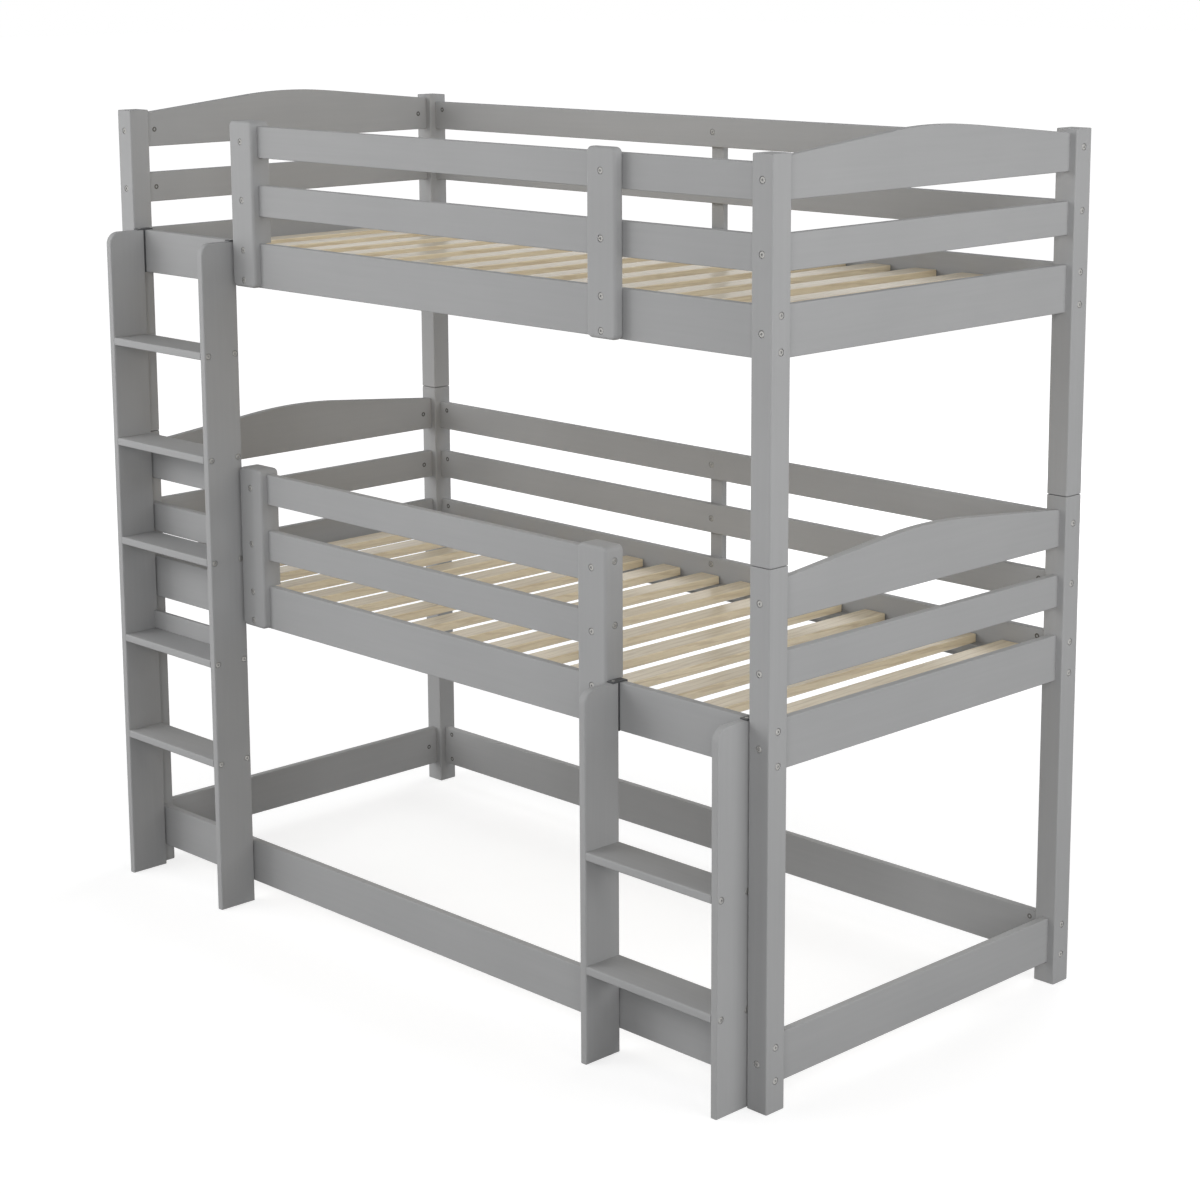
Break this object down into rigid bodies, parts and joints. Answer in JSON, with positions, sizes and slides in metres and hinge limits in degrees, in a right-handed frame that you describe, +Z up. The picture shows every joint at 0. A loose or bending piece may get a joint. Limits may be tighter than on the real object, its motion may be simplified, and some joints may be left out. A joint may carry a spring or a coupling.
{
  "type": "bunk bed",
  "caption": "Tiered bunk bed in painted wood with guard rails, arched end rails, slatted bunks and hook-on ladders at the front.",
  "frame": {"origin": "on the floor under the middle of the bed with its ladders", "axes": "+X along the bed to the right, -Y to the front with the ladders, +Z up"},
  "size_m": [2.078, 1.0592, 1.8789],
  "materials": {
    "painted_wood": "satin grey paint",
    "pine": "planed, unpainted",
    "bolt_steel": "zinc plated",
    "hook_steel": "dark powder coat",
    "dowel_wood": "plain"
  },
  "bodies": {
    "frame": {"bottom_rail_back": "painted_wood", "bottom_rail_front": "painted_wood", "bottom_rail_left": "painted_wood", "bottom_rail_right": "painted_wood", "corner_bolts": "bolt_steel", "dowels": "dowel_wood", "guard_bolts": "bolt_steel", "middle_arch_rail_left": "painted_wood", "middle_arch_rail_right": "painted_wood", "middle_back_support": "painted_wood", "middle_bed_rail_back": "painted_wood", "middle_bed_rail_front": "painted_wood", "middle_bed_rail_left": "painted_wood", "middle_bed_rail_right": "painted_wood", "middle_end_rail_left": "painted_wood", "middle_end_rail_right": "painted_wood", "middle_guard_post_left": "painted_wood", "middle_guard_post_right": "painted_wood", "middle_guard_rail_back_high": "painted_wood", "middle_guard_rail_back_low": "painted_wood", "middle_guard_rail_front_high": "painted_wood", "middle_guard_rail_front_low": "painted_wood", "middle_slats": "pine", "post_lower_back_left": "painted_wood", "post_lower_back_right": "painted_wood", "post_lower_front_left": "painted_wood", "post_lower_front_right": "painted_wood", "post_upper_back_left": "painted_wood", "post_upper_back_right": "painted_wood", "post_upper_front_left": "painted_wood", "post_upper_front_right": "painted_wood", "slat_ledgers": "painted_wood", "top_arch_rail_left": "painted_wood", "top_arch_rail_right": "painted_wood", "top_back_support": "painted_wood", "top_bed_rail_back": "painted_wood", "top_bed_rail_front": "painted_wood", "top_bed_rail_left": "painted_wood", "top_bed_rail_right": "painted_wood", "top_end_rail_left": "painted_wood", "top_end_rail_right": "painted_wood", "top_guard_post_left": "painted_wood", "top_guard_post_right": "painted_wood", "top_guard_rail_back_high": "painted_wood", "top_guard_rail_back_low": "painted_wood", "top_guard_rail_front_high": "painted_wood", "top_guard_rail_front_low": "painted_wood", "top_slats": "pine"},
    "tall_ladder": {"tall_ladder_bolts": "bolt_steel", "tall_ladder_brace": "painted_wood", "tall_ladder_hooks": "hook_steel", "tall_ladder_rungs": "painted_wood", "tall_ladder_stile_left": "painted_wood", "tall_ladder_stile_right": "painted_wood"},
    "short_ladder": {"short_ladder_bolts": "bolt_steel", "short_ladder_hooks": "hook_steel", "short_ladder_rungs": "painted_wood", "short_ladder_stile_left": "painted_wood", "short_ladder_stile_right": "painted_wood"}
  },
  "joints": [
    {"name": "tall_ladder_lift", "type": "slide", "parent": "frame", "child": "tall_ladder", "axis": [0, 0, 1], "range_m": [0, 0.03]},
    {"name": "short_ladder_lift", "type": "slide", "parent": "frame", "child": "short_ladder", "axis": [0, 0, 1], "range_m": [0, 0.03]}
  ]
}
